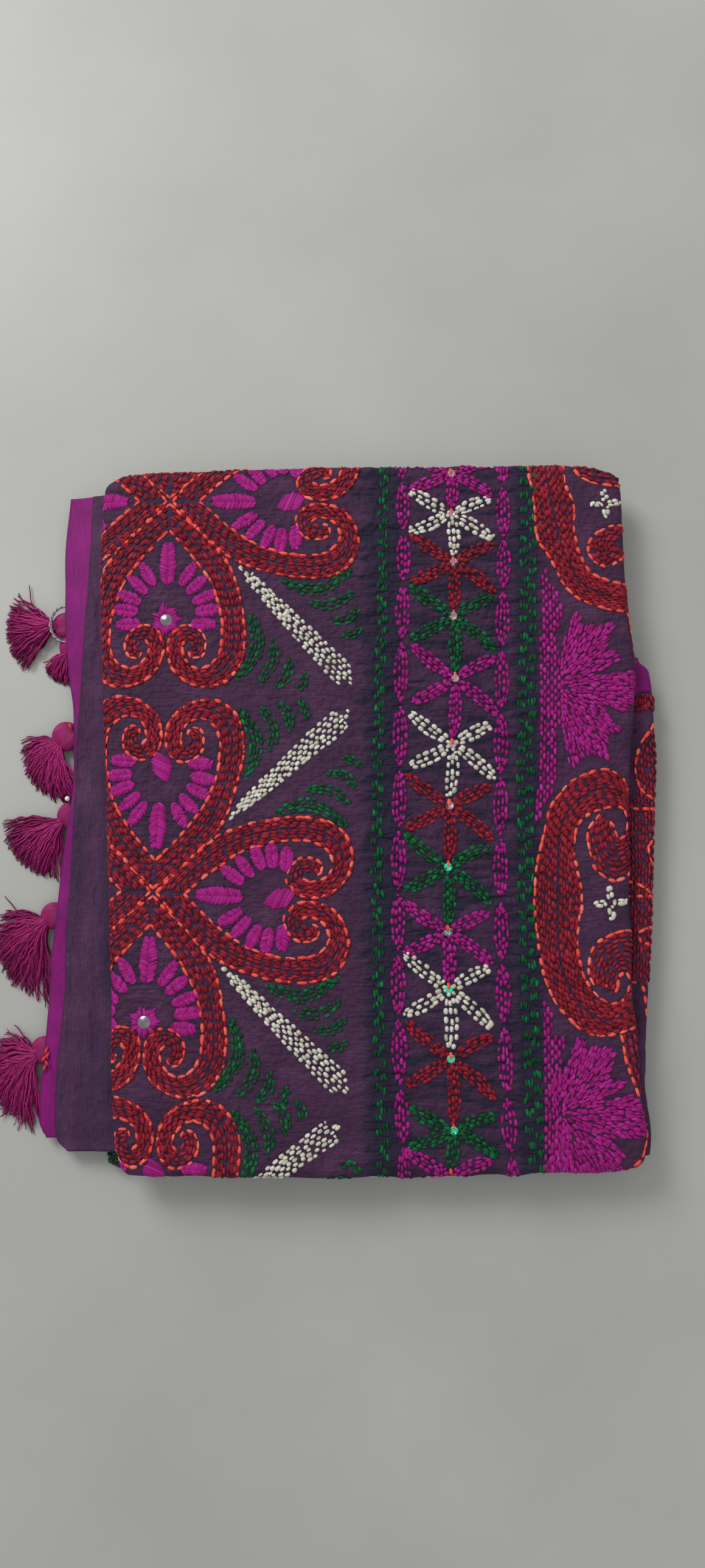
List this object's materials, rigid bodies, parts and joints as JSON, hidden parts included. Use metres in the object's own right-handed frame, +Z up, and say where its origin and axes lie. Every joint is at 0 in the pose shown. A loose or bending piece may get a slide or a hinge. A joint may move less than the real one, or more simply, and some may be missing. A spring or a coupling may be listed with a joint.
{
  "type": "folded saree",
  "caption": "Folded saree: a flat packet of plum cloth with a running-stitched pallu on top, a plain hem, a magenta end border and thread tassels along one side.",
  "frame": {"origin": "middle of the whole's box, on the flat underside that it rests on", "axes": "+Z up through the folded layers, +Y along the packet's long side, +X away from the tassels"},
  "size_m": [0.4548, 0.474, 0.0324],
  "materials": {
    "body_cloth": "plain woven plum cloth, soft sheen",
    "stitched_cloth": "plum cloth quilted with coloured running stitch",
    "plain_cloth": "plain woven plum cloth, pressed",
    "border_cloth": "magenta twill with a soft lustre",
    "tassel_thread": "cut wine-magenta thread"
  },
  "bodies": {
    "root": {"hidden_layers": "body_cloth", "pallu_face": "stitched_cloth", "plum_hem": "plain_cloth", "magenta_border": "border_cloth", "right_stretch": "stitched_cloth", "right_border": "border_cloth", "lower_left_return": "body_cloth", "tassel_1": "tassel_thread", "tassel_2": "tassel_thread", "tassel_3": "tassel_thread", "tassel_4": "tassel_thread", "tassel_5": "tassel_thread", "tassel_6": "tassel_thread"}
  },
  "joints": []
}
